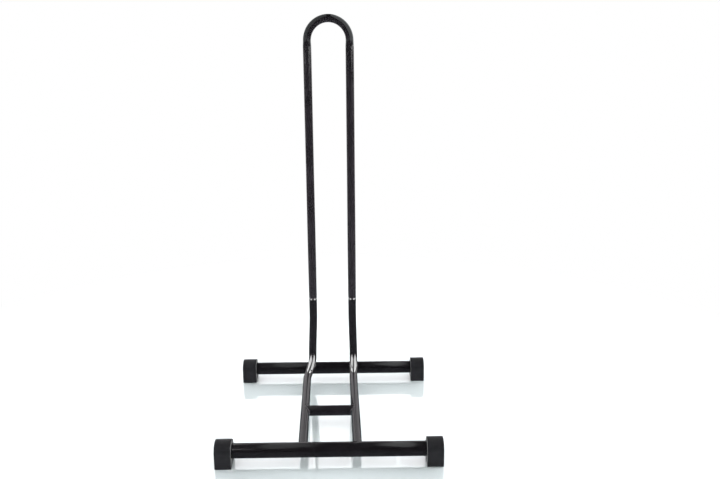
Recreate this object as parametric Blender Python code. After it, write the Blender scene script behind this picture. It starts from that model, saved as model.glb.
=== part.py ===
"""Floor stand that holds a bicycle upright by one wheel.

A welded base of steel tube stands on four rubber feet. A tall hoop slips over two spigots at the back of the
base and lifts off. The tyre stands on the floor between the side tubes and leans against the hoop.
Metres, +Z up, X across the stand, +Y towards the hoop, origin on the floor in the middle of the stand.
"""

import math

import bmesh
import bpy
from mathutils import Vector

# Overall size
OVERALL_WIDTH = 0.380
OVERALL_HEIGHT = 0.739
BAR_SPACING = 0.325
AXIS_HEIGHT = 0.0249  # of the cross bars, side tubes and brace above the floor

# Tubes
WALL = 0.0012
BAR_RADIUS = 0.0125
TUBE_RADIUS = 0.008  # side tubes and hoop
BRACE_RADIUS = 0.0095
BRACE_BACK = 0.1358  # brace behind the front bar, axis to axis
BRACE_CUT = 0.003  # how far short of the side tube's axis the brace is cut square

# Side tubes: how far each stands from the middle plane. The welded pair leans to the left at the back.
FRONT_REACH = {"left": 0.0446, "right": 0.0469}  # at the front bar
BACK_REACH = {"left": 0.0530, "right": 0.0415}  # where the bend begins
NECK_REACH = {"left": 0.0434, "right": 0.0419}  # near the end of the bend
BEND_RADIUS = 0.046
DRAW_BEFORE_BEND = 0.002
DRAW_IN_BEND = 0.054  # the step from back reach to neck reach ends this far into the bend
NECK_LENGTH = 0.100  # over which the tubes draw in from the neck to the hoop's width

# Hoop and the spigots that it slips over
HOOP_HALF = 0.0402
HOOP_FOOT = 0.1820
BEND_FLATTENING = 0.06
FLATTENING_LEAD = 0.010  # length over which the flattening fades into the legs
SPIGOT_RADIUS = 0.0065
SPIGOT_LENGTH = 0.036
SWAGE_LENGTH = 0.0064
SWAGE_SEAT = 0.0045  # how far up the swage the hoop's bore comes to rest
END_CHAMFER = 0.0008

# Rubber feet
FOOT_RADIUS = 0.018
FOOT_RISE = 0.0020  # of the round top's middle above the bar's axis
FOOT_LENGTH = 0.0280
FOOT_END_WALL = 0.0045
FOOT_EDGE = 0.0018
FOOT_CROWN = 0.0004
FOOT_CROWN_FLAT = 0.0072  # half-width of the flat in the middle of the crown
FOOT_CORNER = 0.002
FOOT_MOUTH_EDGE = 0.0008

# Weld beads
FRONT_BEAD = 0.0016
BRACE_BEAD = 0.0014
REAR_BEAD = (0.0024, 0.0046, 0.0022)  # across the stand, along the side tube, away from the bar
REAR_BEAD_OFFSET = 0.0060
REAR_BEAD_LIFT = 0.0009  # its middle stands off the bar by this much

GAP = 0.0003  # between pieces that touch
SHARP_ANGLE = math.radians(35)

# Facets
BAR_SIDES = 32
TUBE_SIDES = 20
BEND_STEPS = 11
NECK_STEPS = 4
SWAGE_STEPS = 6
ARC_STEPS = 18
BEAD_STEPS = 28
BEAD_SIDES = 7
FILLET_SIDES = 14
FILLET_RINGS = 8
ROOF_STEPS = 14
CORNER_STEPS = 3
EDGE_STEPS = 3

X = Vector((1, 0, 0))
Y = Vector((0, 1, 0))
Z = Vector((0, 0, 1))
SIGNS = {"left": -1, "right": 1}

# Worked out from the driving dimensions
FRONT_Y = -BAR_SPACING / 2
REAR_Y = BAR_SPACING / 2
TOUCH_RADIUS = BEND_RADIUS + TUBE_RADIUS + GAP + BAR_RADIUS
LEG_SETBACK = math.sqrt(TOUCH_RADIUS**2 - BEND_RADIUS**2) - BEND_RADIUS
LEG_Y = REAR_Y - LEG_SETBACK
FLAT_RUN = LEG_Y - BEND_RADIUS - FRONT_Y
BEND_RUN = BEND_RADIUS * math.pi / 2
DRAW_START = FLAT_RUN - DRAW_BEFORE_BEND
NECK_START = FLAT_RUN + DRAW_IN_BEND
NECK_END = NECK_START + NECK_LENGTH
SWAGE_BASE = HOOP_FOOT - GAP - SWAGE_SEAT
SPIGOT_TOP = SWAGE_BASE + SWAGE_LENGTH + SPIGOT_LENGTH


def clear_scene():
    for old in list(bpy.data.objects):
        bpy.data.objects.remove(old, do_unlink=True)


def finish(name, colour, roughness, metallic):
    """A new material for one sub-part."""
    material = bpy.data.materials.new(name + "_finish")
    material.use_nodes = True
    shader = material.node_tree.nodes["Principled BSDF"]
    shader.inputs["Base Color"].default_value = (*colour, 1.0)
    shader.inputs["Roughness"].default_value = roughness
    shader.inputs["Metallic"].default_value = metallic
    return material


def powder_coat(name):
    return finish(name, (0.022, 0.022, 0.024), 0.34, 0.0)


def weld_coat(name):
    return finish(name, (0.026, 0.026, 0.027), 0.42, 0.0)


def rubber(name):
    return finish(name, (0.030, 0.030, 0.031), 0.72, 0.0)


def add_object(name, data, location=(0, 0, 0), parent=None):
    piece = bpy.data.objects.new(name, data)
    piece.location = location
    piece.parent = parent
    bpy.context.scene.collection.objects.link(piece)
    return piece


def add_cutter(name, mesh, location=(0, 0, 0)):
    """A guide shape that only trims other pieces."""
    cutter = add_object(name, mesh, location)
    cutter.hide_render = True
    cutter.display_type = "WIRE"
    return cutter


def trim(piece, *cutters):
    for cutter in cutters:
        cut = piece.modifiers.new("trim_" + cutter.name, "BOOLEAN")
        cut.operation = "DIFFERENCE"
        cut.solver = "EXACT"
        cut.object = cutter


def loft(name, loops, ring=False):
    """Joins loops of equal length into one closed surface: end to start for a ring, or with filled ends."""
    bm = bmesh.new()
    rows = [[bm.verts.new(point) for point in loop] for loop in loops]
    pairs = list(zip(rows, rows[1:]))
    if ring:
        pairs.append((rows[-1], rows[0]))
    else:
        bm.faces.new(list(reversed(rows[0])))
        bm.faces.new(rows[-1])
    for near, far in pairs:
        for i in range(len(near)):
            j = (i + 1) % len(near)
            bm.faces.new((near[i], near[j], far[j], far[i]))
    bmesh.ops.recalc_face_normals(bm, faces=bm.faces)
    mesh = bpy.data.meshes.new(name)
    bm.to_mesh(mesh)
    bm.free()
    mesh.shade_smooth()
    mesh.set_sharp_from_angle(angle=SHARP_ANGLE)
    return mesh


def section(centre, tangent, side, half_side, half_up, sides):
    """One elliptical cross-section, square to the tangent."""
    side = (side - tangent * side.dot(tangent)).normalized()
    up = tangent.cross(side)
    loop = []
    for i in range(sides):
        angle = 2 * math.pi * i / sides
        loop.append(centre + side * (half_side * math.cos(angle)) + up * (half_up * math.sin(angle)))
    return loop


def hollow(name, stations, side, sides):
    """A tube open at both ends. A station is (centre, tangent, outer radius, inner radius, flattening)."""
    outer = []
    inner = []
    for centre, tangent, outer_radius, inner_radius, flat in stations:
        wide = 1 + flat
        thin = 1 - flat
        outer.append(section(centre, tangent, side, outer_radius * wide, outer_radius * thin, sides))
        inner.append(section(centre, tangent, side, inner_radius * wide, inner_radius * thin, sides))
    return loft(name, outer + list(reversed(inner)), ring=True)


def straight_tube(name, half_length, radius, sides, axis, side):
    stations = []
    for reach in (-half_length, half_length):
        stations.append((axis * reach, axis, radius, radius - WALL, 0.0))
    return hollow(name, stations, side, sides)


def rod(name, half_length, radius, sides, axis, side):
    """A solid cylinder along an axis, used as a guide."""
    loops = []
    for reach in (-half_length, half_length):
        loops.append(section(axis * reach, axis, side, radius, radius, sides))
    return loft(name, loops)


def ease(t):
    t = min(max(t, 0.0), 1.0)
    return t * t * (3 - 2 * t)


def side_reach(run, side):
    """A side tube's distance from the middle plane at a length from the front bar's axis."""
    front = FRONT_REACH[side]
    back = BACK_REACH[side]
    neck = NECK_REACH[side]
    if run <= DRAW_START:
        return front + (back - front) * run / DRAW_START
    if run <= NECK_START:
        return back + (neck - back) * ease((run - DRAW_START) / (NECK_START - DRAW_START))
    return neck + (HOOP_HALF - neck) * ease((run - NECK_START) / NECK_LENGTH)


def side_centre(run, side):
    """Point on a side tube's centre line at a length from the front bar's axis."""
    across = SIGNS[side] * side_reach(run, side)
    if run <= FLAT_RUN:
        return Vector((across, FRONT_Y + run, AXIS_HEIGHT))
    if run <= FLAT_RUN + BEND_RUN:
        turn = (run - FLAT_RUN) / BEND_RADIUS
        back = FRONT_Y + FLAT_RUN + BEND_RADIUS * math.sin(turn)
        return Vector((across, back, AXIS_HEIGHT + BEND_RADIUS * (1 - math.cos(turn))))
    return Vector((across, LEG_Y, AXIS_HEIGHT + BEND_RADIUS + run - FLAT_RUN - BEND_RUN))


def side_point(run, side):
    """Centre and heading of a side tube at a length from the front bar's axis."""
    heading = side_centre(run + GAP, side) - side_centre(run - GAP, side)
    return side_centre(run, side), heading.normalized()


def run_at_height(height):
    return FLAT_RUN + BEND_RUN + height - AXIS_HEIGHT - BEND_RADIUS


def spread(first, last, steps):
    return [first + (last - first) * i / steps for i in range(steps)]


def side_runs():
    """Stations along a side tube up to the foot of its swage."""
    bend_end = FLAT_RUN + BEND_RUN
    runs = [0.0, DRAW_START]
    runs += spread(FLAT_RUN, bend_end, BEND_STEPS)
    runs += spread(bend_end, NECK_END, NECK_STEPS)
    runs += [NECK_END, run_at_height(SWAGE_BASE)]
    return runs


def side_tube_mesh(name, side, origin):
    """A side tube whose top end is swaged down to a spigot for the hoop."""
    stations = []
    for run in side_runs():
        centre, tangent = side_point(run, side)
        stations.append((centre - origin, tangent, TUBE_RADIUS, TUBE_RADIUS - WALL, 0.0))
    for step in range(1, SWAGE_STEPS + 1):
        t = step / SWAGE_STEPS
        radius = TUBE_RADIUS - (TUBE_RADIUS - SPIGOT_RADIUS) * (1 - math.cos(math.pi * t)) / 2
        centre, tangent = side_point(run_at_height(SWAGE_BASE + SWAGE_LENGTH * t), side)
        stations.append((centre - origin, tangent, radius, radius - WALL, 0.0))
    for height, radius in ((SPIGOT_TOP - END_CHAMFER, SPIGOT_RADIUS), (SPIGOT_TOP, SPIGOT_RADIUS - END_CHAMFER / 2)):
        centre, tangent = side_point(run_at_height(height), side)
        stations.append((centre - origin, tangent, radius, SPIGOT_RADIUS - WALL, 0.0))
    return hollow(name, stations, X, TUBE_SIDES)


def side_guide_mesh(name, side):
    """The side tube's outside plus the gap, as a solid."""
    loops = []
    for run in side_runs():
        centre, tangent = side_point(run, side)
        loops.append(section(centre, tangent, X, TUBE_RADIUS + GAP, TUBE_RADIUS + GAP, TUBE_SIDES))
    return loft(name, loops)


def hoop_mesh(name):
    """Two straight legs and a half-circle top, flattened a little by the bending."""
    apex = OVERALL_HEIGHT - TUBE_RADIUS * (1 - BEND_FLATTENING)
    spring = apex - HOOP_HALF - HOOP_FOOT
    leg_top = spring - FLATTENING_LEAD
    stations = []

    def station(x, z, tangent, flat, outer=TUBE_RADIUS):
        stations.append((Vector((x, 0, z)), tangent, outer, TUBE_RADIUS - WALL, flat))

    station(HOOP_HALF, 0.0, Z, 0.0, TUBE_RADIUS - END_CHAMFER / 2)
    station(HOOP_HALF, END_CHAMFER, Z, 0.0)
    station(HOOP_HALF, leg_top, Z, 0.0)
    for step in range(ARC_STEPS + 1):
        turn = math.pi * step / ARC_STEPS
        tangent = Vector((-math.sin(turn), 0, math.cos(turn)))
        x = HOOP_HALF * math.cos(turn)
        z = spring + HOOP_HALF * math.sin(turn)
        station(x, z, tangent, BEND_FLATTENING)
    station(-HOOP_HALF, leg_top, -Z, 0.0)
    station(-HOOP_HALF, END_CHAMFER, -Z, 0.0)
    station(-HOOP_HALF, 0.0, -Z, 0.0, TUBE_RADIUS - END_CHAMFER / 2)
    return hollow(name, stations, Y, TUBE_SIDES)


def arc(centre, radius, start, steps, sweep):
    """Points (y, z) along an arc, both ends included."""
    points = []
    for i in range(steps + 1):
        angle = start + sweep * i / steps
        points.append((centre[0] + radius * math.cos(angle), centre[1] + radius * math.sin(angle)))
    return points


def foot_outline(inset):
    """Round over the bar, straight sides, flat underneath, drawn in by an inset. Points are (y, z) from the axis."""
    half = FOOT_RADIUS - inset
    floor = inset - AXIS_HEIGHT
    corner = max(FOOT_CORNER - inset, FOOT_CORNER / 4)
    quarter = math.pi / 2
    outline = arc((0, FOOT_RISE), half, 0, ROOF_STEPS, math.pi)
    outline.append((-half, floor / 2))
    outline += arc((corner - half, floor + corner), corner, 2 * quarter, CORNER_STEPS, quarter)
    outline += [(-half / 3, floor), (half / 3, floor)]
    outline += arc((half - corner, floor + corner), corner, 3 * quarter, CORNER_STEPS, quarter)
    outline.append((half, floor / 2))
    return outline


def foot_mesh(name):
    """A foot for the +X end of a bar, with its origin on the bar's axis at the foot's outer end."""
    loops = []

    def outline_loop(x, inset):
        loops.append([Vector((x, y, z)) for y, z in foot_outline(inset)])

    def round_loop(x, radius):
        loops.append(section(Vector((x, 0, 0)), X, Y, radius, radius, len(loops[0])))

    outline_loop(0.0, FOOT_RADIUS - FOOT_CROWN_FLAT)
    outline_loop(-FOOT_CROWN, FOOT_EDGE)
    for step in range(1, EDGE_STEPS + 1):
        turn = math.pi / 2 * step / EDGE_STEPS
        drop = (FOOT_EDGE - FOOT_CROWN) * (1 - math.cos(turn))
        outline_loop(-FOOT_CROWN - drop, FOOT_EDGE * (1 - math.sin(turn)))
    outline_loop(-FOOT_LENGTH + FOOT_MOUTH_EDGE, 0.0)
    outline_loop(-FOOT_LENGTH, FOOT_MOUTH_EDGE)
    round_loop(-FOOT_LENGTH, BAR_RADIUS + GAP)
    round_loop(-FOOT_END_WALL, BAR_RADIUS + GAP)
    return loft(name, loops)


def saddle(centre, along, cross, radius, crossed_radius, least):
    """The closed line where a tube of one radius meets a crossed tube, eased to clear it where it is narrower."""
    line = []
    for i in range(BEAD_STEPS):
        angle = 2 * math.pi * i / BEAD_STEPS
        up = radius * math.sin(angle)
        square = crossed_radius**2 - up**2
        reach = math.sqrt((square + math.sqrt(square**2 + 4 * least**4)) / 2)
        line.append(centre + cross * (radius * math.cos(angle)) + Z * up + along * reach)
    return line


def bead_mesh(name, line, centre, along, radius):
    """A round bead laid along a closed line about an axis."""
    loops = []
    for i, point in enumerate(line):
        tangent = (line[(i + 1) % len(line)] - line[i - 1]).normalized()
        outward = point - centre
        outward -= along * outward.dot(along)
        loops.append(section(point, tangent, outward, radius, radius, BEAD_SIDES))
    return loft(name, loops, ring=True)


def touch_point(side):
    """Where a side tube's bend lies against the rear bar: point, way along the tube, way off the bar."""
    turn = math.atan2(BEND_RADIUS + LEG_SETBACK, BEND_RADIUS)
    centre, tangent = side_point(FLAT_RUN + BEND_RADIUS * turn, side)
    bar_axis = Vector((centre.x, REAR_Y, AXIS_HEIGHT))
    off_bar = (centre - bar_axis).normalized()
    return bar_axis + off_bar * BAR_RADIUS, tangent, off_bar


def rear_bead_mesh(name, tangent, off_bar):
    """A short fillet of weld, longest along the side tube."""
    across, along, off = REAR_BEAD
    sideways = tangent.cross(off_bar).normalized()
    bm = bmesh.new()
    bmesh.ops.create_uvsphere(bm, u_segments=FILLET_SIDES, v_segments=FILLET_RINGS, radius=1.0)
    for vert in bm.verts:
        x, y, z = vert.co
        vert.co = sideways * (x * across) + tangent * (y * along) + off_bar * (z * off)
    bmesh.ops.recalc_face_normals(bm, faces=bm.faces)
    mesh = bpy.data.meshes.new(name)
    bm.to_mesh(mesh)
    bm.free()
    mesh.shade_smooth()
    return mesh


def brace_reach(side):
    """A side tube's distance from the middle plane where the brace meets it."""
    return side_reach(BRACE_BACK, side)


def brace_half():
    """Half the brace's length before it is coped."""
    return (brace_reach("left") + brace_reach("right")) / 2 - BRACE_CUT


def brace_middle():
    return Vector(((brace_reach("right") - brace_reach("left")) / 2, FRONT_Y + BRACE_BACK, AXIS_HEIGHT))


def build_guides():
    """Solids that trim the tube ends and the beads to fit, each larger than its piece by the gap."""
    guides = {}
    bar = rod("bar_guide", OVERALL_WIDTH / 2, BAR_RADIUS + GAP, BAR_SIDES, X, Y)
    guides["front"] = add_cutter("front_bar_guide", bar, (0, FRONT_Y, AXIS_HEIGHT))
    guides["rear"] = add_cutter("rear_bar_guide", bar, (0, REAR_Y, AXIS_HEIGHT))
    brace = rod("brace_guide", brace_half() + GAP, BRACE_RADIUS + GAP, TUBE_SIDES, X, Y)
    guides["brace"] = add_cutter("brace_guide", brace, brace_middle())
    for side in SIGNS:
        guides[side] = add_cutter(side + "_tube_guide", side_guide_mesh(side + "_tube_guide", side))
    return guides


def build_cross_bars(base):
    half = OVERALL_WIDTH / 2 - FOOT_END_WALL - GAP
    for end, y in (("front", FRONT_Y), ("rear", REAR_Y)):
        name = end + "_cross_bar"
        mesh = straight_tube(name, half, BAR_RADIUS, BAR_SIDES, X, Y)
        bar = add_object(name, mesh, (0, y, AXIS_HEIGHT), base)
        mesh.materials.append(powder_coat(bar.name))


def build_feet(base):
    for end, y in (("front", FRONT_Y), ("rear", REAR_Y)):
        for side, sign in SIGNS.items():
            name = end + "_" + side + "_foot"
            foot = add_object(name, foot_mesh(name), (sign * OVERALL_WIDTH / 2, y, AXIS_HEIGHT), base)
            foot.rotation_euler.z = 0.0 if sign > 0 else math.pi
            foot.data.materials.append(rubber(name))


def build_side_tubes(base, guides):
    for side, sign in SIGNS.items():
        name = side + "_side_tube"
        origin = Vector((sign * FRONT_REACH[side], FRONT_Y, AXIS_HEIGHT))
        tube = add_object(name, side_tube_mesh(name, side, origin), origin, base)
        trim(tube, guides["front"])
        tube.data.materials.append(powder_coat(name))


def build_brace(base, guides):
    name = "wheel_brace"
    mesh = straight_tube(name, brace_half(), BRACE_RADIUS, TUBE_SIDES, X, Y)
    brace = add_object(name, mesh, brace_middle(), base)
    trim(brace, guides["left"], guides["right"])
    mesh.materials.append(powder_coat(name))


def build_round_beads(base, guides):
    """The beads round the front ends of the side tubes and round both ends of the brace."""
    for side, sign in SIGNS.items():
        centre = Vector((sign * FRONT_REACH[side], FRONT_Y, AXIS_HEIGHT))
        line = saddle(Vector(), Y, X, TUBE_RADIUS, BAR_RADIUS, 0.0)
        name = "front_weld_" + side
        bead = add_object(name, bead_mesh(name, line, Vector(), Y, FRONT_BEAD), centre, base)
        trim(bead, guides["front"], guides[side])
        bead.data.materials.append(weld_coat(name))

        centre = Vector((sign * brace_reach(side), FRONT_Y + BRACE_BACK, AXIS_HEIGHT))
        inward = X * -sign
        line = saddle(Vector(), inward, Y, BRACE_RADIUS, TUBE_RADIUS, BRACE_CUT)
        name = "brace_weld_" + side
        bead = add_object(name, bead_mesh(name, line, Vector(), inward, BRACE_BEAD), centre, base)
        trim(bead, guides["brace"], guides[side])
        bead.data.materials.append(weld_coat(name))


def build_rear_beads(base, guides):
    """A fillet on each side of each side tube, where its bend lies against the rear bar."""
    for side, sign in SIGNS.items():
        point, tangent, off_bar = touch_point(side)
        for flank, way in (("outer", 1), ("inner", -1)):
            name = "rear_weld_" + side + "_" + flank
            centre = point + X * (sign * way * REAR_BEAD_OFFSET) + off_bar * REAR_BEAD_LIFT
            bead = add_object(name, rear_bead_mesh(name, tangent, off_bar), centre, base)
            trim(bead, guides["rear"], guides[side])
            bead.data.materials.append(weld_coat(name))


def build_hoop():
    slide = add_object("hoop_slide", None, (0, LEG_Y, HOOP_FOOT))
    hoop = add_object("hoop", hoop_mesh("hoop"), parent=slide)
    hoop.data.materials.append(powder_coat("hoop"))


def main():
    clear_scene()
    base = add_object("base_frame", None)
    guides = build_guides()
    build_cross_bars(base)
    build_feet(base)
    build_side_tubes(base, guides)
    build_brace(base, guides)
    build_round_beads(base, guides)
    build_rear_beads(base, guides)
    build_hoop()


main()
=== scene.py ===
"""Looks of a bicycle floor stand: coated steel tube on rubber feet, on a glossy pale table.

Metres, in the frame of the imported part: X across the stand, +Y towards the hoop, +Z up, floor at Z = 0.
"""

import math

import bmesh
import bpy
from mathutils import Matrix, Vector


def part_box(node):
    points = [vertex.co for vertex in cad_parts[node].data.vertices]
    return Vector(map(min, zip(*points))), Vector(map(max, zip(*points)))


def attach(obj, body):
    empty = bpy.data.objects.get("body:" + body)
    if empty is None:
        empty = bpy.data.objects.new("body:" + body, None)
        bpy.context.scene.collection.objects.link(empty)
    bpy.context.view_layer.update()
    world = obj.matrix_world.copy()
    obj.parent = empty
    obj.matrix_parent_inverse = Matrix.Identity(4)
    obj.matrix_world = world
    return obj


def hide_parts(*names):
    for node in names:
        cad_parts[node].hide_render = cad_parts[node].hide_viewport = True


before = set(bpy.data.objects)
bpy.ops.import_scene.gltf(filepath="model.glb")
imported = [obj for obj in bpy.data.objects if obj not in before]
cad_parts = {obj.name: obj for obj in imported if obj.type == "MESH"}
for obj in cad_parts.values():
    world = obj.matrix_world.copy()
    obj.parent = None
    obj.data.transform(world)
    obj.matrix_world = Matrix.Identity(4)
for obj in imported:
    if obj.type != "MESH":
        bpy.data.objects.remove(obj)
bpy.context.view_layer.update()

X = Vector((1, 0, 0))
Y = Vector((0, 1, 0))
Z = Vector((0, 0, 1))

# Sizes read from the frame
bar_low, bar_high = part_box("front_cross_bar")
rear_low, rear_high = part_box("rear_cross_bar")
tube_low, tube_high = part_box("right_side_tube")
hoop_low, hoop_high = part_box("hoop")
brace_low, brace_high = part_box("wheel_brace")
foot_low, foot_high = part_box("front_right_foot")

BAR_RADIUS = (bar_high.z - bar_low.z) / 2
BAR_HALF = bar_high.x
AXIS_HEIGHT = (bar_high.z + bar_low.z) / 2
FRONT_Y = (bar_high.y + bar_low.y) / 2
REAR_Y = (rear_high.y + rear_low.y) / 2
TUBE_RADIUS = AXIS_HEIGHT - tube_low.z
SPIGOT_TOP = tube_high.z
LEG_Y = (hoop_high.y + hoop_low.y) / 2
HOOP_HALF = hoop_high.x - TUBE_RADIUS
HOOP_FOOT = hoop_low.z
HOOP_TOP = hoop_high.z
BRACE_RADIUS = (brace_high.z - brace_low.z) / 2
BRACE_Y = (brace_high.y + brace_low.y) / 2
FOOT_RADIUS = (foot_high.y - foot_low.y) / 2
FOOT_LENGTH = foot_high.x - foot_low.x
HALF_WIDTH = foot_high.x

# Sizes of details inside the pieces, as in the part
WALL = 0.0012
GAP = 0.0003
FRONT_REACH = {"left": 0.0446, "right": 0.0469}
BACK_REACH = {"left": 0.0530, "right": 0.0415}
NECK_REACH = {"left": 0.0434, "right": 0.0419}
BEND_RADIUS = 0.046
BEND_FLATTENING = 0.06
DRAW_BEFORE_BEND = 0.002
DRAW_IN_BEND = 0.054
NECK_LENGTH = 0.100
BRACE_CUT = 0.003
SPIGOT_RADIUS = 0.0065
SWAGE_LENGTH = 0.0064
SWAGE_SEAT = 0.0045
LIP = 0.0005
FOOT_END_WALL = 0.0045
FOOT_RISE = 0.0020
FOOT_EDGE = 0.0018
FOOT_CROWN = 0.0004
FOOT_CORNER = 0.002
FOOT_MOUTH_EDGE = 0.0008
FRONT_BEAD = 0.0016
BRACE_BEAD = 0.0014
REAR_BEAD = (0.0024, 0.0046, 0.0022)
REAR_BEAD_OFFSET = 0.0060
REAR_BEAD_LIFT = 0.0009

TUBE_SIDES = 64
BAR_SIDES = 96
BEND_STEPS = 40
ARC_STEPS = 72

TOUCH_RADIUS = BEND_RADIUS + TUBE_RADIUS + GAP + BAR_RADIUS
LEG_SETBACK = math.sqrt(TOUCH_RADIUS**2 - BEND_RADIUS**2) - BEND_RADIUS
FLAT_RUN = LEG_Y - BEND_RADIUS - FRONT_Y
BEND_RUN = BEND_RADIUS * math.pi / 2
DRAW_START = FLAT_RUN - DRAW_BEFORE_BEND
NECK_START = FLAT_RUN + DRAW_IN_BEND
NECK_END = NECK_START + NECK_LENGTH
SWAGE_BASE = HOOP_FOOT - GAP - SWAGE_SEAT
SIGNS = {"left": -1, "right": 1}


# Meshes


def skin(name, loops, closed=False, smooth_below=50):
    """A surface through loops of equal length: closed end to start, or with filled ends."""
    bm = bmesh.new()
    rows = [[bm.verts.new(point) for point in loop] for loop in loops]
    pairs = list(zip(rows, rows[1:]))
    if closed:
        pairs.append((rows[-1], rows[0]))
    else:
        bm.faces.new(list(reversed(rows[0])))
        bm.faces.new(rows[-1])
    for near, far in pairs:
        for i in range(len(near)):
            j = (i + 1) % len(near)
            bm.faces.new((near[i], near[j], far[j], far[i]))
    bmesh.ops.recalc_face_normals(bm, faces=bm.faces)
    mesh = bpy.data.meshes.new(name)
    bm.to_mesh(mesh)
    bm.free()
    mesh.shade_smooth()
    mesh.set_sharp_from_angle(angle=math.radians(smooth_below))
    return mesh


def section(centre, tangent, side, half_side, half_up, sides):
    side = (side - tangent * side.dot(tangent)).normalized()
    up = tangent.cross(side)
    loop = []
    for i in range(sides):
        angle = 2 * math.pi * i / sides
        loop.append(centre + side * (half_side * math.cos(angle)) + up * (half_up * math.sin(angle)))
    return loop


def tube_loops(stations, side, sides):
    """Outer and inner loops. A station is (centre, tangent, outer radius, inner radius, flattening)."""
    outer = []
    inner = []
    for centre, tangent, outer_radius, inner_radius, flat in stations:
        wide = 1 + flat
        thin = 1 - flat
        outer.append(section(centre, tangent, side, outer_radius * wide, outer_radius * thin, sides))
        inner.append(section(centre, tangent, side, inner_radius * wide, inner_radius * thin, sides))
    return outer, inner


def lip_profile(steps):
    """A rounded tube end as (distance from the end face, how far it draws in), from the end face on."""
    profile = []
    for i in range(steps + 1):
        turn = math.pi / 2 * i / steps
        profile.append((LIP * (1 - math.cos(turn)), LIP * (1 - math.sin(turn))))
    return profile


def ease(t):
    t = min(max(t, 0.0), 1.0)
    return t * t * (3 - 2 * t)


def side_reach(run, side):
    """A side tube's distance from the middle plane at a length from the front bar's axis."""
    front = FRONT_REACH[side]
    back = BACK_REACH[side]
    neck = NECK_REACH[side]
    if run <= DRAW_START:
        return front + (back - front) * run / DRAW_START
    if run <= NECK_START:
        return back + (neck - back) * ease((run - DRAW_START) / (NECK_START - DRAW_START))
    return neck + (HOOP_HALF - neck) * ease((run - NECK_START) / NECK_LENGTH)


def side_centre(run, side):
    """Point on a side tube's centre line at a length from the front bar's axis."""
    across = SIGNS[side] * side_reach(run, side)
    if run <= FLAT_RUN:
        return Vector((across, FRONT_Y + run, AXIS_HEIGHT))
    if run <= FLAT_RUN + BEND_RUN:
        turn = (run - FLAT_RUN) / BEND_RADIUS
        back = FRONT_Y + FLAT_RUN + BEND_RADIUS * math.sin(turn)
        return Vector((across, back, AXIS_HEIGHT + BEND_RADIUS * (1 - math.cos(turn))))
    return Vector((across, LEG_Y, AXIS_HEIGHT + BEND_RADIUS + run - FLAT_RUN - BEND_RUN))


def side_point(run, side):
    """Centre and heading of a side tube at a length from the front bar's axis."""
    heading = side_centre(run + GAP, side) - side_centre(run - GAP, side)
    return side_centre(run, side), heading.normalized()


def run_at_height(height):
    return FLAT_RUN + BEND_RUN + height - AXIS_HEIGHT - BEND_RADIUS


def spread(first, last, steps):
    return [first + (last - first) * i / steps for i in range(steps)]


def side_tube_mesh(name, side):
    """A side tube: coped to the front bar, bent up, and swaged down to the hoop's spigot."""
    bend_end = FLAT_RUN + BEND_RUN
    runs = [0.0, BAR_RADIUS + 2 * TUBE_RADIUS]
    runs += spread(BAR_RADIUS + 3 * TUBE_RADIUS, DRAW_START, 6)
    runs += spread(DRAW_START, FLAT_RUN, 6)
    runs += spread(FLAT_RUN, bend_end, BEND_STEPS)
    runs += spread(bend_end, NECK_END, 20)
    runs += spread(NECK_END, run_at_height(SWAGE_BASE), 3)
    stations = []
    for run in runs:
        centre, tangent = side_point(run, side)
        stations.append((centre, tangent, TUBE_RADIUS, TUBE_RADIUS - WALL, 0.0))
    swage_steps = 16
    for step in range(swage_steps + 1):
        t = step / swage_steps
        radius = TUBE_RADIUS - (TUBE_RADIUS - SPIGOT_RADIUS) * (1 - math.cos(math.pi * t)) / 2
        centre, tangent = side_point(run_at_height(SWAGE_BASE + SWAGE_LENGTH * t), side)
        stations.append((centre, tangent, radius, radius - WALL, 0.0))
    for back, drawn in reversed(lip_profile(5)):
        centre, tangent = side_point(run_at_height(SPIGOT_TOP - back), side)
        stations.append((centre, tangent, SPIGOT_RADIUS - drawn, SPIGOT_RADIUS - WALL, 0.0))
    outer, inner = tube_loops(stations, X, TUBE_SIDES)
    for loop in (outer[0], inner[0]):
        for point in loop:
            rise = point.z - AXIS_HEIGHT
            point.y = FRONT_Y + math.sqrt((BAR_RADIUS + GAP) ** 2 - rise**2)
    return skin(name, outer + list(reversed(inner)), closed=True)


def hoop_mesh(name):
    apex = HOOP_TOP - TUBE_RADIUS * (1 - BEND_FLATTENING)
    spring = apex - HOOP_HALF
    lead = 0.012
    bore = TUBE_RADIUS - WALL
    leg = [(HOOP_FOOT + back, TUBE_RADIUS - drawn) for back, drawn in lip_profile(5)]
    heights = spread(HOOP_FOOT + 2 * LIP, spring - lead, 12)
    stations = []

    def station(x, z, tangent, flat, outer=TUBE_RADIUS):
        stations.append((Vector((x, LEG_Y, z)), tangent, outer, bore, flat))

    for z, outer in leg:
        station(HOOP_HALF, z, Z, 0.0, outer)
    for z in heights:
        station(HOOP_HALF, z, Z, 0.0)
    for step in range(9):
        t = step / 8
        station(HOOP_HALF, spring - lead * (1 - t), Z, BEND_FLATTENING * ease(t))
    for step in range(1, ARC_STEPS):
        turn = math.pi * step / ARC_STEPS
        tangent = Vector((-math.sin(turn), 0, math.cos(turn)))
        station(HOOP_HALF * math.cos(turn), spring + HOOP_HALF * math.sin(turn), tangent, BEND_FLATTENING)
    for step in range(9):
        t = 1 - step / 8
        station(-HOOP_HALF, spring - lead * (1 - t), -Z, BEND_FLATTENING * ease(t))
    for z in reversed(heights):
        station(-HOOP_HALF, z, -Z, 0.0)
    for z, outer in reversed(leg):
        station(-HOOP_HALF, z, -Z, 0.0, outer)
    outer, inner = tube_loops(stations, Y, TUBE_SIDES)
    return skin(name, outer + list(reversed(inner)), closed=True)


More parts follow.
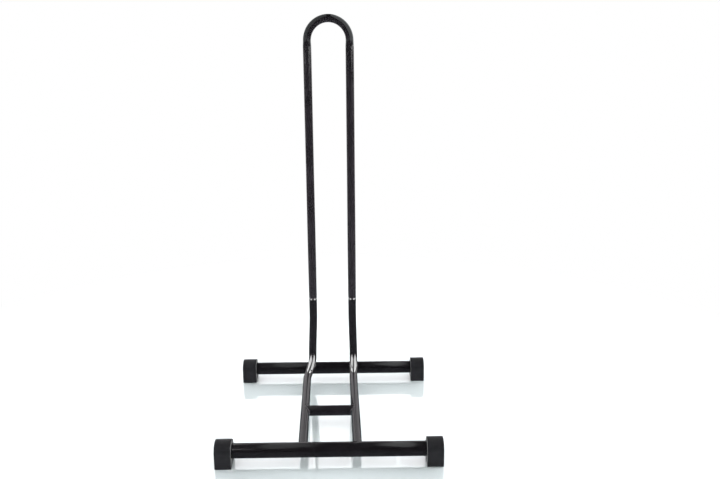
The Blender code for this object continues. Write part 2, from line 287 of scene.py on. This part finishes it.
def bar_mesh(name, y):
    end = [(-BAR_HALF + back, BAR_RADIUS - drawn) for back, drawn in lip_profile(5)]
    middle = [(x, BAR_RADIUS) for x in spread(-BAR_HALF + 2 * LIP, BAR_HALF - LIP, 24)]
    profile = end + middle + [(-x, radius) for x, radius in reversed(end)]
    full = [(Vector((x, y, AXIS_HEIGHT)), X, radius, BAR_RADIUS - WALL, 0.0) for x, radius in profile]
    outer, inner = tube_loops(full, Y, BAR_SIDES)
    return skin(name, outer + list(reversed(inner)), closed=True)


def reach_beside(y, side):
    return side_reach(y - FRONT_Y, side)


def brace_mesh(name):
    """The brace, coped at both ends to the side tubes."""
    left = reach_beside(BRACE_Y, "left")
    right = reach_beside(BRACE_Y, "right")
    full = []
    for x in [-left] + spread(-left + 2 * TUBE_RADIUS, right - TUBE_RADIUS, 8) + [right]:
        full.append((Vector((x, BRACE_Y, AXIS_HEIGHT)), X, BRACE_RADIUS, BRACE_RADIUS - WALL, 0.0))
    outer, inner = tube_loops(full, Y, TUBE_SIDES)
    for end, side in ((0, "left"), (-1, "right")):
        for point in outer[end] + inner[end]:
            rise = point.z - AXIS_HEIGHT
            cut = math.sqrt(max((TUBE_RADIUS + GAP) ** 2 - rise**2, BRACE_CUT**2))
            point.x = SIGNS[side] * (reach_beside(point.y, side) - cut)
    return skin(name, outer + list(reversed(inner)), closed=True)


def foot_outline(inset):
    """A foot's outline, drawn in by an inset, as (y, z) from the bar's axis: round top, flat underneath."""
    half = FOOT_RADIUS - inset
    floor = -AXIS_HEIGHT + inset
    corner = max(FOOT_CORNER - inset, FOOT_CORNER / 4)
    low = floor + corner
    outline = []
    for i in range(49):
        angle = math.pi * i / 48
        outline.append((half * math.cos(angle), FOOT_RISE + half * math.sin(angle)))
    for share in (0.25, 0.5, 0.75):
        outline.append((-half, (floor + corner) * share))
    for i in range(9):
        angle = math.pi + math.pi / 2 * i / 8
        outline.append((-half + corner + corner * math.cos(angle), low + corner * math.sin(angle)))
    for share in (-0.5, 0.0, 0.5):
        outline.append((half * share, floor))
    for i in range(9):
        angle = 1.5 * math.pi + math.pi / 2 * i / 8
        outline.append((half - corner + corner * math.cos(angle), low + corner * math.sin(angle)))
    for share in (0.75, 0.5, 0.25):
        outline.append((half, (floor + corner) * share))
    return outline


def foot_mesh(name, sign, y):
    """A foot on a bar's end, its outer face crowned and its edges rounded."""
    loops = []

    def place(x, points):
        loops.append([Vector((sign * (HALF_WIDTH + x), y + dy, AXIS_HEIGHT + dz)) for dy, dz in points])

    def outline_loop(x, inset):
        place(x, foot_outline(inset))

    def round_loop(x, radius):
        count = len(loops[0])
        turns = [2 * math.pi * i / count for i in range(count)]
        place(x, [(radius * math.cos(turn), radius * math.sin(turn)) for turn in turns])

    crown_reach = FOOT_RADIUS - FOOT_EDGE
    for share in (0.05, 0.3, 0.55, 0.8):
        outline_loop(-FOOT_CROWN * share**2, FOOT_RADIUS - crown_reach * share)
    edge_steps = 10
    for step in range(edge_steps + 1):
        turn = math.pi / 2 * step / edge_steps
        drop = (FOOT_EDGE - FOOT_CROWN) * (1 - math.cos(turn))
        outline_loop(-FOOT_CROWN - drop, FOOT_EDGE * (1 - math.sin(turn)))
    for x in spread(-2 * FOOT_EDGE, -FOOT_LENGTH + 2 * FOOT_MOUTH_EDGE, 6):
        outline_loop(x, 0.0)
    mouth_steps = 6
    for step in range(mouth_steps + 1):
        turn = math.pi / 2 * step / mouth_steps
        drawn = FOOT_MOUTH_EDGE * (1 - math.cos(turn))
        outline_loop(-FOOT_LENGTH + FOOT_MOUTH_EDGE * (1 - math.sin(turn)), drawn)
    round_loop(-FOOT_LENGTH, BAR_RADIUS + GAP + FOOT_MOUTH_EDGE / 2)
    round_loop(-FOOT_LENGTH + FOOT_MOUTH_EDGE / 2, BAR_RADIUS + GAP)
    round_loop(-FOOT_END_WALL, BAR_RADIUS + GAP)
    return skin(name, loops)


def saddle(centre, along, cross, radius, crossed_radius, least, steps):
    """The closed line where a tube meets a crossed tube, eased to clear it where that one is narrower."""
    line = []
    for i in range(steps):
        angle = 2 * math.pi * i / steps
        up = radius * math.sin(angle)
        square = crossed_radius**2 - up**2
        reach = math.sqrt((square + math.sqrt(square**2 + 4 * least**4)) / 2)
        line.append(centre + cross * (radius * math.cos(angle)) + Z * up + along * reach)
    return line


def ripple(t):
    """Height of one weld ripple over its length: a steep front and a long tail."""
    t %= 1.0
    return math.sin(math.pi * t**0.6) - 0.5


def bead_mesh(name, line, centre, along, radius, ripples):
    """A round bead with overlapping ripples, laid along a closed line."""
    loops = []
    for i, point in enumerate(line):
        tangent = (line[(i + 1) % len(line)] - line[i - 1]).normalized()
        outward = point - centre
        outward -= along * outward.dot(along)
        t = i / len(line)
        full = radius * (1 + 0.07 * ripple(ripples * t) + 0.05 * math.sin(5 * math.pi * t) ** 2)
        loops.append(section(point, tangent, outward, full, full, 20))
    return skin(name, loops, closed=True)


def touch_point(side):
    """Where a side tube's bend lies against the rear bar: point, way along the tube, way off the bar."""
    turn = math.atan2(BEND_RADIUS + LEG_SETBACK, BEND_RADIUS)
    centre, tangent = side_point(FLAT_RUN + BEND_RADIUS * turn, side)
    bar_axis = Vector((centre.x, REAR_Y, AXIS_HEIGHT))
    off_bar = (centre - bar_axis).normalized()
    return bar_axis + off_bar * BAR_RADIUS, tangent, off_bar


def fillet_mesh(name, side, way):
    """A short fillet of weld, longest along the side tube, with ripples across it."""
    point, tangent, off_bar = touch_point(side)
    across, along, off = REAR_BEAD
    centre = point + X * (SIGNS[side] * way * REAR_BEAD_OFFSET) + off_bar * REAR_BEAD_LIFT
    loops = []
    steps = 48
    for i in range(1, steps):
        t = -1 + 2 * i / steps
        girth = math.sqrt(1 - t * t) * (1 + 0.08 * ripple(3.5 * (t + 1)))
        loops.append(section(centre + tangent * (along * t), tangent, X, across * girth, off * girth, 28))
    return skin(name, loops)


# Materials


class Finish:
    """A Principled material with colour, roughness and relief from layered procedural patterns in metres."""

    def __init__(self, name):
        self.material = bpy.data.materials.new(name)
        self.material.use_nodes = True
        self.tree = self.material.node_tree
        self.shader = self.tree.nodes["Principled BSDF"]
        self.where = self.tree.nodes.new("ShaderNodeTexCoord").outputs["Object"]

    def node(self, kind, **settings):
        made = self.tree.nodes.new(kind)
        for key, value in settings.items():
            setattr(made, key, value)
        return made

    def link(self, source, target):
        self.tree.links.new(source, target)

    def noise(self, size, detail=3.0, roughness=0.5, where=None):
        """Noise whose features are about the given size in metres."""
        made = self.node("ShaderNodeTexNoise")
        made.inputs["Scale"].default_value = 1 / size
        made.inputs["Detail"].default_value = detail
        made.inputs["Roughness"].default_value = roughness
        self.link(where or self.where, made.inputs["Vector"])
        return made.outputs["Fac"]

    def stretch(self, factors):
        made = self.node("ShaderNodeMapping")
        made.inputs["Scale"].default_value = factors
        self.link(self.where, made.inputs["Vector"])
        return made.outputs["Vector"]

    def ramp(self, source, low, high, start, end):
        """Maps a pattern from low..high to start..end, clamped."""
        made = self.node("ShaderNodeMapRange")
        made.inputs["From Min"].default_value = low
        made.inputs["From Max"].default_value = high
        made.inputs["To Min"].default_value = start
        made.inputs["To Max"].default_value = end
        self.link(source, made.inputs["Value"])
        return made.outputs["Result"]

    def math(self, operation, first, second):
        made = self.node("ShaderNodeMath", operation=operation)
        for socket, value in zip(made.inputs, (first, second)):
            if isinstance(value, (int, float)):
                socket.default_value = value
            else:
                self.link(value, socket)
        return made.outputs["Value"]

    def blend(self, share, first, second):
        made = self.node("ShaderNodeMix", data_type="RGBA")
        self.link(share, made.inputs["Factor"])
        for socket, value in ((made.inputs[6], first), (made.inputs[7], second)):
            if isinstance(value, tuple):
                socket.default_value = (*value, 1.0)
            else:
                self.link(value, socket)
        return made.outputs[2]

    def relief(self, height, depth, strength=1.0, below=None):
        made = self.node("ShaderNodeBump")
        made.inputs["Strength"].default_value = strength
        made.inputs["Distance"].default_value = depth
        self.link(height, made.inputs["Height"])
        if below is not None:
            self.link(below, made.inputs["Normal"])
        return made.outputs["Normal"]

    def edges(self, radius):
        """1 on outer edges, 0 on open faces, from how far a softened normal turns from the true one."""
        bevel = self.node("ShaderNodeBevel", samples=4)
        bevel.inputs["Radius"].default_value = radius
        geometry = self.node("ShaderNodeNewGeometry")
        dot = self.node("ShaderNodeVectorMath", operation="DOT_PRODUCT")
        self.link(bevel.outputs["Normal"], dot.inputs[0])
        self.link(geometry.outputs["Normal"], dot.inputs[1])
        return self.ramp(dot.outputs["Value"], 0.97, 0.80, 0.0, 1.0)


def powder_coat(name, colour, roughness):
    """Satin powder coat: fine orange peel, a slight mottle, scattered dust nibs."""
    finish = Finish(name)
    shader = finish.shader
    mottle = finish.noise(0.030, 4.0, 0.55)
    peel = finish.noise(0.0011, 2.0, 0.4)
    nibs = finish.noise(0.0032, 1.0, 0.3)
    nib = finish.ramp(nibs, 0.72, 0.80, 0.0, 1.0)
    tone = finish.ramp(mottle, 0.35, 0.65, 0.0, 1.0)
    darker = tuple(0.82 * c for c in colour)
    lighter = tuple(1.22 * c for c in colour)
    finish.link(finish.blend(tone, darker, lighter), shader.inputs["Base Color"])
    grain = finish.ramp(peel, 0.3, 0.7, -0.015, 0.015)
    rough = finish.ramp(mottle, 0.3, 0.7, roughness - 0.015, roughness + 0.02)
    finish.link(finish.math("ADD", rough, grain), shader.inputs["Roughness"])
    shader.inputs["IOR"].default_value = 1.46
    body = finish.relief(peel, 0.000012, 0.6)
    finish.link(finish.relief(nib, 0.00003, 0.4, body), shader.inputs["Normal"])
    return finish.material


def weld_coat(name, colour, roughness):
    """The same coat over a weld: more pooled, with small pits."""
    finish = Finish(name)
    shader = finish.shader
    pits = finish.noise(0.0009, 3.0, 0.6)
    pool = finish.noise(0.0040, 2.0, 0.5)
    tone = finish.ramp(pool, 0.35, 0.65, 0.0, 1.0)
    finish.link(finish.blend(tone, colour, tuple(1.5 * c for c in colour)), shader.inputs["Base Color"])
    finish.link(finish.ramp(pool, 0.3, 0.7, roughness - 0.06, roughness + 0.06), shader.inputs["Roughness"])
    shader.inputs["IOR"].default_value = 1.18
    finish.link(finish.relief(pits, 0.00015, 0.6), shader.inputs["Normal"])
    return finish.material


def moulded_rubber(name, colour, roughness):
    """Matte moulded rubber: eroded mould grain, faint flow marks round the bar, and scuffed edges."""
    finish = Finish(name)
    shader = finish.shader
    grain = finish.noise(0.0006, 2.0, 0.6)
    bloom = finish.noise(0.012, 4.0, 0.6)
    flow = finish.noise(0.004, 3.0, 0.5, finish.stretch((6.0, 1.0, 1.0)))
    worn = finish.ramp(finish.noise(0.0025), 0.42, 0.62, 0.0, 0.6)
    scuff = finish.math("MULTIPLY", finish.edges(0.0016), worn)
    base = finish.blend(finish.ramp(bloom, 0.35, 0.68, 0.0, 1.0), colour, tuple(1.45 * c for c in colour))
    finish.link(finish.blend(scuff, base, (0.022, 0.022, 0.0215)), shader.inputs["Base Color"])
    shine = finish.math("ADD", finish.ramp(bloom, 0.3, 0.7, roughness - 0.05, roughness + 0.06), scuff)
    finish.link(finish.math("MINIMUM", shine, 0.95), shader.inputs["Roughness"])
    shader.inputs["IOR"].default_value = 1.06
    shader.inputs["Sheen Weight"].default_value = 0.30
    shader.inputs["Sheen Roughness"].default_value = 0.35
    body = finish.relief(grain, 0.00012, 0.5)
    finish.link(finish.relief(flow, 0.00010, 0.35, body), shader.inputs["Normal"])
    return finish.material


COAT = (0.0058, 0.0049, 0.0060)
# The bars take the tube coat at 0.6 of its colour: painted shade that darkens the bars.
bar_finish = powder_coat("bar_powder_coat_painted_shade", tuple(0.6 * c for c in COAT), 0.085)
tube_finish = powder_coat("side_tube_powder_coat", COAT, 0.11)
# The hoop takes the tube coat at 2.4 times its colour: painted light that brightens the hoop.
hoop_finish = powder_coat("hoop_powder_coat_painted_light", tuple(2.4 * c for c in COAT), 0.11)
weld_finish = weld_coat("weld_powder_coat", COAT, 0.30)
rubber_finish = moulded_rubber("foot_moulded_rubber", (0.0060, 0.0060, 0.0068), 0.42)


# Pieces


def piece(name, mesh, finish, body, node, mirrored=True):
    """One visible piece. One that is not mirrored shows in no reflection."""
    made = bpy.data.objects.new(name, mesh)
    bpy.context.scene.collection.objects.link(made)
    mesh.materials.append(finish)
    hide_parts(node)
    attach(made, body)
    made.visible_glossy = mirrored


for end, y in (("front", FRONT_Y), ("rear", REAR_Y)):
    name = end + "_bar_tube"
    piece(name, bar_mesh(name, y), bar_finish, "base", end + "_cross_bar")
    for side, sign in SIGNS.items():
        name = end + "_" + side + "_rubber_foot"
        node = end + "_" + side + "_foot"
        piece(name, foot_mesh(name, sign, y), rubber_finish, "base", node)

brace = brace_mesh("brace_tube")
piece("brace_tube", brace, tube_finish, "base", "wheel_brace", mirrored=False)
piece("hoop_tube", hoop_mesh("hoop_tube"), hoop_finish, "hoop", "hoop")

for side, sign in SIGNS.items():
    name = side + "_rail_tube"
    rail = side_tube_mesh(name, side)
    piece(name, rail, tube_finish, "base", side + "_side_tube", mirrored=False)

    name = "front_bead_" + side
    centre = Vector((sign * FRONT_REACH[side], FRONT_Y, AXIS_HEIGHT))
    line = saddle(centre, Y, X, TUBE_RADIUS, BAR_RADIUS, 0.0, 260)
    bead = bead_mesh(name, line, centre, Y, FRONT_BEAD, 26)
    piece(name, bead, weld_finish, "base", "front_weld_" + side)

    name = "brace_bead_" + side
    inward = X * -sign
    centre = Vector((sign * reach_beside(BRACE_Y, side), BRACE_Y, AXIS_HEIGHT))
    line = saddle(centre, inward, Y, BRACE_RADIUS, TUBE_RADIUS, BRACE_CUT, 260)
    bead = bead_mesh(name, line, centre, inward, BRACE_BEAD, 30)
    piece(name, bead, weld_finish, "base", "brace_weld_" + side, mirrored=False)

    for flank, way in (("outer", 1), ("inner", -1)):
        name = "rear_bead_" + side + "_" + flank
        node = "rear_weld_" + side + "_" + flank
        fillet = fillet_mesh(name, side, way)
        piece(name, fillet, weld_finish, "base", node, mirrored=False)


# Table, backdrop and light

FLOOR_REACH = 9.0
TABLE_GLOSS = 0.52
WHITE_FROM = 0.45  # from here on the table fades to plain white
WHITE_BY = 1.15
BACKDROP_Y = 1.70
BACKDROP_HALF = 3.2
BACKDROP_HEIGHT = 1.50
BACKDROP_GLOW = 0.93
BOUNCE_FRONT = -0.62
BOUNCE_HALF = 1.30
BOUNCE_DROP = 0.001  # below the table
BOUNCE_GLOW = 0.16
MIRRORED_RADIUS = TUBE_RADIUS - WALL / 2
MIRRORED_START = 0.02
CARD_X = 0.20
CARD_LOW = 0.69
CARD_HIGH = 3.0
CARD_FRONT = -0.9
CARD_BACK = 1.1
CARD_GLOW = {"left": 0.9, "right": 1.6}
SOFTBOX_LENGTH = 15.0
SOFTBOX_INNER_REACH = 1.90
SOFTBOX_INNER_HEIGHT = 7.20
SOFTBOX_OUTER_REACH = 6.20
SOFTBOX_OUTER_HEIGHT = {"left": 1.10, "right": 0.90}
SHINE_BACK = 0.2
SHINE_RADIANCE = 16.5
LIGHT_BACK = 1.8
LIGHT_RADIANCE = 3.6
ROOM_RADIANCE = 0.05


def sheet(name, corners, material):
    mesh = bpy.data.meshes.new(name)
    mesh.from_pydata([Vector(c) for c in corners], [], [tuple(range(len(corners)))])
    mesh.materials.append(material)
    made = bpy.data.objects.new(name, mesh)
    bpy.context.scene.collection.objects.link(made)
    return made


def table_material():
    """Pale table: a diffuse body under a clear reflecting face, fading to plain white away from the stand."""
    material = bpy.data.materials.new("pale_glossy_table")
    material.use_nodes = True
    tree = material.node_tree
    tree.nodes.clear()
    out = tree.nodes.new("ShaderNodeOutputMaterial")
    body = tree.nodes.new("ShaderNodeBsdfDiffuse")
    body.inputs["Color"].default_value = (0.80, 0.88, 0.895, 1.0)
    face = tree.nodes.new("ShaderNodeBsdfGlossy")
    face.inputs["Color"].default_value = (1.0, 1.0, 1.0, 1.0)
    face.inputs["Roughness"].default_value = 0.05
    mix = tree.nodes.new("ShaderNodeMixShader")
    mix.inputs["Fac"].default_value = TABLE_GLOSS
    tree.links.new(body.outputs["BSDF"], mix.inputs[1])
    tree.links.new(face.outputs["BSDF"], mix.inputs[2])
    white = tree.nodes.new("ShaderNodeEmission")
    white.inputs["Strength"].default_value = 1.0
    place = tree.nodes.new("ShaderNodeTexCoord")
    away = tree.nodes.new("ShaderNodeVectorMath")
    away.operation = "LENGTH"
    share = tree.nodes.new("ShaderNodeMapRange")
    share.interpolation_type = "SMOOTHSTEP"
    share.inputs["From Min"].default_value = WHITE_FROM
    share.inputs["From Max"].default_value = WHITE_BY
    fade = tree.nodes.new("ShaderNodeMixShader")
    tree.links.new(place.outputs["Object"], away.inputs[0])
    tree.links.new(away.outputs["Value"], share.inputs["Value"])
    tree.links.new(share.outputs["Result"], fade.inputs["Fac"])
    tree.links.new(mix.outputs["Shader"], fade.inputs[1])
    tree.links.new(white.outputs["Emission"], fade.inputs[2])
    tree.links.new(fade.outputs["Shader"], out.inputs["Surface"])
    return material


def glow_material(name, colour, strength):
    material = bpy.data.materials.new(name)
    material.use_nodes = True
    tree = material.node_tree
    tree.nodes.clear()
    out = tree.nodes.new("ShaderNodeOutputMaterial")
    glow = tree.nodes.new("ShaderNodeEmission")
    glow.inputs["Color"].default_value = (*colour, 1.0)
    glow.inputs["Strength"].default_value = strength
    tree.links.new(glow.outputs["Emission"], out.inputs["Surface"])
    return material


def show_in_reflections_only(made):
    made.visible_camera = False
    made.visible_diffuse = False
    made.visible_shadow = False


def level(half, front, back, height):
    return [(-half, front, height), (half, front, height), (half, back, height), (-half, back, height)]


floor = sheet("table_top", level(FLOOR_REACH, -FLOOR_REACH, FLOOR_REACH, 0.0), table_material())
floor.visible_glossy = False

# What the coat mirrors of the table: a dim, cool copy just under it, seen in reflections only.
bounce = sheet(
    "table_bounce",
    level(BOUNCE_HALF, BOUNCE_FRONT, BACKDROP_Y, -BOUNCE_DROP),
    glow_material("table_bounce_glow", (0.78, 0.95, 1.0), BOUNCE_GLOW),
)
upright = [
    (-BACKDROP_HALF, BACKDROP_Y, 0.0),
    (BACKDROP_HALF, BACKDROP_Y, 0.0),
    (BACKDROP_HALF, BACKDROP_Y, BACKDROP_HEIGHT),
    (-BACKDROP_HALF, BACKDROP_Y, BACKDROP_HEIGHT),
]
backdrop = sheet("backdrop", upright, glow_material("backdrop_glow", (1.0, 0.98, 1.0), BACKDROP_GLOW))
show_in_reflections_only(bounce)
show_in_reflections_only(backdrop)

# The table shows the side tubes as plain dark shapes, without the softboxes' shine on their undersides.
shade = bpy.data.materials.new("plain_dark")
shade.use_nodes = True
plain = shade.node_tree.nodes["Principled BSDF"]
plain.inputs["Base Color"].default_value = (*COAT, 1.0)
plain.inputs["Roughness"].default_value = 1.0
plain.inputs["IOR"].default_value = 1.0
for side in SIGNS:
    name = "mirrored_rail_" + side
    loops = []
    for run in spread(MIRRORED_START, run_at_height(SWAGE_BASE), 60):
        centre, tangent = side_point(run, side)
        loops.append(section(centre, tangent, X, MIRRORED_RADIUS, MIRRORED_RADIUS, TUBE_SIDES))
    mesh = skin(name, loops)
    mesh.materials.append(shade)
    mirrored = bpy.data.objects.new(name, mesh)
    bpy.context.scene.collection.objects.link(mirrored)
    show_in_reflections_only(mirrored)

# Two dim cards beside the hoop keep the softboxes out of its top.
for side, sign in SIGNS.items():
    x = sign * CARD_X
    corners = [
        (x, CARD_FRONT, CARD_LOW),
        (x, CARD_BACK, CARD_LOW),
        (x, CARD_BACK, CARD_HIGH),
        (x, CARD_FRONT, CARD_HIGH),
    ]
    glow = glow_material("card_glow_" + side, (0.95, 1.0, 1.0), CARD_GLOW[side])
    card = sheet("card_" + side, corners, glow)
    card.visible_camera = False
    card.visible_diffuse = False

# Two large softboxes lean in over the stand from both sides and leave a gap above its middle. Their shine and
# their soft light are set apart, so that the coat shows their shapes without the table washing out.


def softbox(name, side, back, radiance, shine):
    """Half of a softbox: the half that shines in the coat, or the half that lights plain surfaces."""
    sign = SIGNS[side]
    inner = Vector((sign * SOFTBOX_INNER_REACH, back, SOFTBOX_INNER_HEIGHT))
    outer = Vector((sign * SOFTBOX_OUTER_REACH, back, SOFTBOX_OUTER_HEIGHT[side]))
    centre = (inner + outer) / 2
    across = (outer - inner).normalized()
    width = (outer - inner).length
    light = bpy.data.lights.new(name, "AREA")
    light.shape = "RECTANGLE"
    light.size = width
    light.size_y = SOFTBOX_LENGTH
    light.energy = radiance * math.pi * width * SOFTBOX_LENGTH
    light.cycles.use_multiple_importance_sampling = shine
    facing = across.cross(Y).normalized()
    if facing.z < 0:
        facing = -facing
    lamp = bpy.data.objects.new(name, light)
    lamp.matrix_world = Matrix((across, facing.cross(across), facing)).transposed().to_4x4()
    lamp.location = centre
    lamp.visible_camera = False
    lamp.visible_diffuse = not shine
    lamp.visible_glossy = shine
    bpy.context.scene.collection.objects.link(lamp)


for side in SIGNS:
    softbox("softbox_shine_" + side, side, SHINE_BACK, SHINE_RADIANCE, True)
    softbox("softbox_" + side, side, LIGHT_BACK, LIGHT_RADIANCE, False)

world = bpy.data.worlds.new("studio")
bpy.context.scene.world = world
world.use_nodes = True
nodes = world.node_tree.nodes
links = world.node_tree.links
nodes.clear()
seen = nodes.new("ShaderNodeBackground")
seen.inputs["Color"].default_value = (1.0, 1.0, 1.0, 1.0)
seen.inputs["Strength"].default_value = 1.0
room = nodes.new("ShaderNodeBackground")
room.inputs["Color"].default_value = (0.9, 0.95, 1.0, 1.0)
room.inputs["Strength"].default_value = ROOM_RADIANCE
path = nodes.new("ShaderNodeLightPath")
choose = nodes.new("ShaderNodeMixShader")
world_out = nodes.new("ShaderNodeOutputWorld")
links.new(path.outputs["Is Camera Ray"], choose.inputs["Fac"])
links.new(room.outputs["Background"], choose.inputs[1])
links.new(seen.outputs["Background"], choose.inputs[2])
links.new(choose.outputs["Shader"], world_out.inputs["Surface"])

# Camera, at standing height a little right of the stand's middle
CAMERA_PLACE = Vector((0.0395, -1.2100, 0.6465))
CAMERA_YAW = -0.0130
CAMERA_PITCH = 0.2447
CAMERA_ROLL = 0.0065

forward = Vector((0, math.cos(CAMERA_PITCH), -math.sin(CAMERA_PITCH)))
down = Vector((0, -math.sin(CAMERA_PITCH), -math.cos(CAMERA_PITCH)))
right = X * math.cos(CAMERA_ROLL) + down * math.sin(CAMERA_ROLL)
down = down * math.cos(CAMERA_ROLL) - X * math.sin(CAMERA_ROLL)
turn = Matrix.Rotation(CAMERA_YAW, 3, "Z")
right, down, forward = turn @ right, turn @ down, turn @ forward
lens = bpy.data.cameras.new("camera")
lens.lens = 35.0
lens.sensor_width = 36.0
lens.sensor_fit = "HORIZONTAL"
camera = bpy.data.objects.new("camera", lens)
camera.matrix_world = Matrix((right, -down, -forward)).transposed().to_4x4()
camera.location = CAMERA_PLACE
bpy.context.scene.collection.objects.link(camera)
bpy.context.scene.camera = camera

scene = bpy.context.scene
scene.view_settings.view_transform = "Standard"
scene.view_settings.look = "None"
